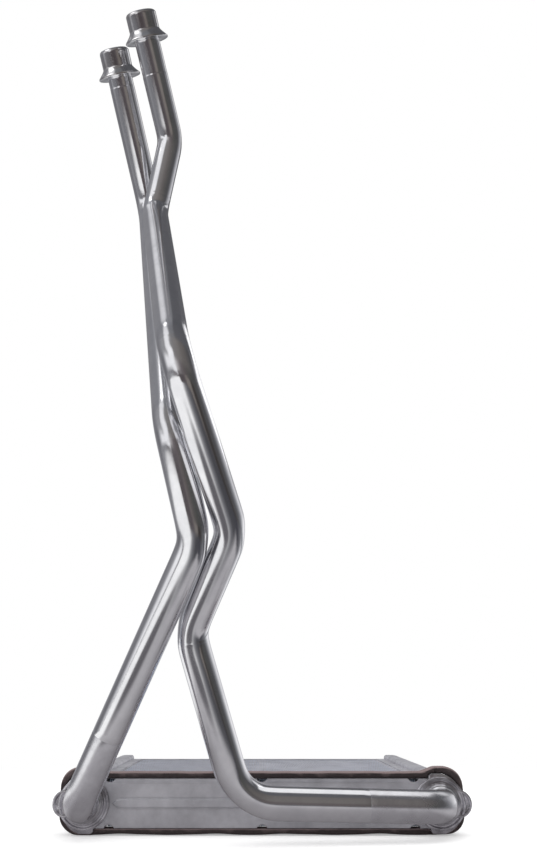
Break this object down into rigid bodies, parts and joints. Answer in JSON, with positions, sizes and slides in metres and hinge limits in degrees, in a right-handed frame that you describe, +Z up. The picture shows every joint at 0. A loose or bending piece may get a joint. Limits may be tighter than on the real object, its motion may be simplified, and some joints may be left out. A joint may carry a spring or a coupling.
{
  "type": "heater core",
  "caption": "Small aluminium heat exchanger lying on its large face, with two long bent water pipes rising from its end caps to flared sockets.",
  "frame": {"origin": "on the underside of the foam seal, midway between the tanks and at the middle of the seal's depth", "axes": "+X along the flat tubes towards the tank with the cross pipe, +Y along the tanks away from the pipe fittings, +Z up through the core's thickness"},
  "size_m": [0.2432, 0.3203, 0.5457],
  "materials": {
    "brazed_sheet": "matt brazed sheet",
    "fin_strip": "matt thin strip",
    "drawn_tube": "bright drawn",
    "turned_socket": "bright turned",
    "foam": "closed-cell foam"
  },
  "bodies": {
    "root": {"elbow_left": "drawn_tube", "elbow_right": "drawn_tube", "fin_01": "fin_strip", "fin_02": "fin_strip", "fin_03": "fin_strip", "fin_04": "fin_strip", "fin_05": "fin_strip", "fin_06": "fin_strip", "fin_07": "fin_strip", "fin_08": "fin_strip", "fin_09": "fin_strip", "fin_10": "fin_strip", "fin_11": "fin_strip", "fin_12": "fin_strip", "fin_13": "fin_strip", "fin_14": "fin_strip", "fin_15": "fin_strip", "fin_16": "fin_strip", "fin_17": "fin_strip", "fin_18": "fin_strip", "fin_19": "fin_strip", "flat_tube_01": "brazed_sheet", "flat_tube_02": "brazed_sheet", "flat_tube_03": "brazed_sheet", "flat_tube_04": "brazed_sheet", "flat_tube_05": "brazed_sheet", "flat_tube_06": "brazed_sheet", "flat_tube_07": "brazed_sheet", "flat_tube_08": "brazed_sheet", "flat_tube_09": "brazed_sheet", "flat_tube_10": "brazed_sheet", "flat_tube_11": "brazed_sheet", "flat_tube_12": "brazed_sheet", "flat_tube_13": "brazed_sheet", "flat_tube_14": "brazed_sheet", "flat_tube_15": "brazed_sheet", "flat_tube_16": "brazed_sheet", "flat_tube_17": "brazed_sheet", "flat_tube_18": "brazed_sheet", "foam_seal": "foam", "front_cap_left": "brazed_sheet", "front_cap_right": "brazed_sheet", "header_tray_left": "brazed_sheet", "header_tray_right": "brazed_sheet", "pipe_left": "drawn_tube", "pipe_right": "drawn_tube", "rear_cap_left": "brazed_sheet", "rear_cap_right": "brazed_sheet", "side_plate_front": "brazed_sheet", "side_plate_rear": "brazed_sheet", "socket_left": "turned_socket", "socket_right": "turned_socket", "tank_left": "brazed_sheet", "tank_right": "brazed_sheet"}
  },
  "joints": []
}
